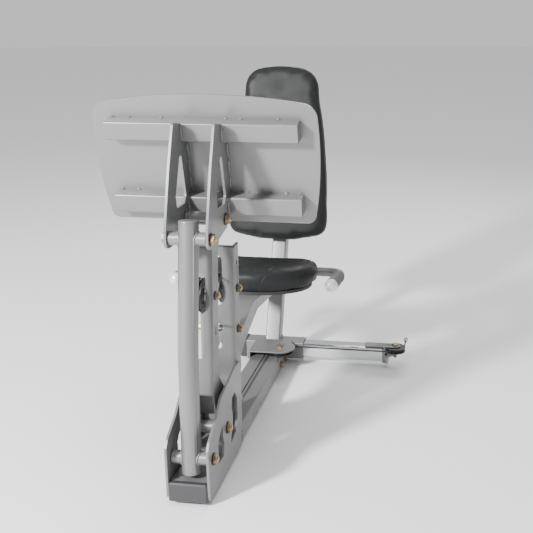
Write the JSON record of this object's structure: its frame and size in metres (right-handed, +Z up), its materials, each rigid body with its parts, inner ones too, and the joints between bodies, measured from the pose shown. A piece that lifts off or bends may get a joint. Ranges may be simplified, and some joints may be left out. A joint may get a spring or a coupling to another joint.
{
  "type": "leg press station",
  "caption": "Seated leg press: a four-bar linkage carries a foot plate that draws a cable over pulleys to a home gym; fixed seat, back rest and side handles.",
  "frame": {"origin": "middle of the front rubber foot's underside, on the machine's centre plane", "axes": "+Y from the front foot to the seat and the back rest, +Z up, +X to the side of the connector tube"},
  "size_m": [0.7596, 1.2194, 1.0255],
  "materials": {
    "frame_paint": "silver-grey metallic powder coat, satin",
    "dark_plastic": "dark grey moulded plastic, fine grain",
    "rubber": "black rubber, matt",
    "grip_rubber": "dark grey ribbed rubber",
    "upholstery": "charcoal vinyl upholstery, fine grain",
    "board": "plywood backing board, painted black",
    "pulley_nylon": "black nylon, turned",
    "cable_jacket": "black nylon jacket over steel cable",
    "zinc_bolt": "yellow zinc plated steel",
    "black_washer": "black nylon washer",
    "bright_steel": "zinc plated steel",
    "connector_chrome": "bright plated tube",
    "polished_cap": "polished cast aluminium",
    "bush_plastic": "black acetal bush"
  },
  "bodies": {
    "base": {"base_beam": "frame_paint", "beam_end_cap": "dark_plastic", "front_foot": "rubber", "rear_foot": "rubber", "left_gusset": "frame_paint", "right_gusset": "frame_paint", "tower": "frame_paint", "stop_bumper": "rubber", "stop_bracket": "frame_paint", "rear_sleeve": "frame_paint", "connector_tube": "connector_chrome", "connector_bracket": "frame_paint", "connector_claw": "frame_paint", "pulley_cover": "frame_paint", "base_pulley_bracket": "frame_paint", "upright": "frame_paint", "seat_frame": "frame_paint", "handle_bar": "frame_paint", "handle_grips": "grip_rubber", "handle_ends": "polished_cap", "seat_board": "board", "seat_pad": "upholstery", "back_board": "board", "back_pad": "upholstery", "end_plugs": "dark_plastic", "frame_bolts": "zinc_bolt", "frame_nuts": "zinc_bolt", "frame_washers": "black_washer", "frame_spacers": "bright_steel", "frame_bearings": "bright_steel", "cable_frame_run": "cable_jacket", "cable_arm_run": "cable_jacket", "cable_eye": "bright_steel", "cable_end_fitting": "bright_steel"},
    "front_arm": {"front_arm_tube": "frame_paint", "front_arm_caps": "frame_paint", "front_arm_cross_tubes": "frame_paint", "front_arm_bushes": "bush_plastic"},
    "foot_plate_unit": {"foot_plate": "frame_paint", "foot_plate_tread": "rubber", "upper_channel": "frame_paint", "lower_channel": "frame_paint", "left_bracket": "frame_paint", "right_bracket": "frame_paint", "plate_bolts": "zinc_bolt", "plate_nuts": "zinc_bolt", "plate_washers": "black_washer"},
    "rear_arm": {"rear_arm_channel": "frame_paint", "rear_arm_cross_tubes": "frame_paint", "rear_arm_bushes": "bush_plastic", "arm_axle_bolt": "zinc_bolt", "arm_axle_nut": "zinc_bolt", "arm_axle_washers": "black_washer", "arm_axle_spacers": "bright_steel", "arm_bearing": "bright_steel"},
    "tower_wheel": {"tower_pulley": "pulley_nylon"},
    "arm_wheel": {"arm_pulley": "pulley_nylon"},
    "base_wheel": {"base_pulley": "pulley_nylon"},
    "corner_wheel": {"corner_pulley": "pulley_nylon"},
    "end_wheel": {"end_pulley": "pulley_nylon"}
  },
  "joints": [
    {"name": "press_swing", "type": "hinge", "parent": "base", "child": "front_arm", "pos_m": [0, 0.004, 0.112], "axis": [1, 0, 0], "range_deg": [0, 35]},
    {"name": "plate_pivot", "type": "hinge", "parent": "front_arm", "child": "foot_plate_unit", "pos_m": [0, 0.04, 0.664], "axis": [1, 0, 0], "range_deg": [-35, 0]},
    {"name": "rear_swing", "type": "hinge", "parent": "base", "child": "rear_arm", "pos_m": [0, 0.136, 0.132], "axis": [1, 0, 0], "range_deg": [0, 35], "deforming": ["cable_arm_run"]},
    {"name": "tower_spin", "type": "hinge", "parent": "base", "child": "tower_wheel", "pos_m": [0, 0.286, 0.466], "axis": [1, 0, 0], "range_deg": [0, 594.1]},
    {"name": "arm_spin", "type": "hinge", "parent": "rear_arm", "child": "arm_wheel", "pos_m": [0, 0.12563, 0.49545], "axis": [1, 0, 0], "range_deg": [0, 220.3]},
    {"name": "base_spin", "type": "hinge", "parent": "base", "child": "base_wheel", "pos_m": [0, 0.355, 0.115], "axis": [1, 0, 0], "range_deg": [-477.9, 0]},
    {"name": "corner_spin", "type": "hinge", "parent": "base", "child": "corner_wheel", "pos_m": [0.041, 0.842, 0.069], "axis": [0, 0, 1], "range_deg": [0, 536.1]},
    {"name": "end_spin", "type": "hinge", "parent": "base", "child": "end_wheel", "pos_m": [0.428, 0.913, 0.069], "axis": [0, 0, 1], "range_deg": [-732.7, 0]}
  ],
  "couplings": [
    {"joint": "plate_pivot", "follows": "press_swing", "ratio": -1},
    {"joint": "rear_swing", "follows": "press_swing", "ratio": 1},
    {"joint": "tower_spin", "follows": "press_swing", "ratio": 16.973},
    {"joint": "arm_spin", "follows": "press_swing", "ratio": 6.2927},
    {"joint": "base_spin", "follows": "press_swing", "ratio": -13.652},
    {"joint": "corner_spin", "follows": "press_swing", "ratio": 15.317},
    {"joint": "end_spin", "follows": "press_swing", "ratio": -20.933}
  ]
}
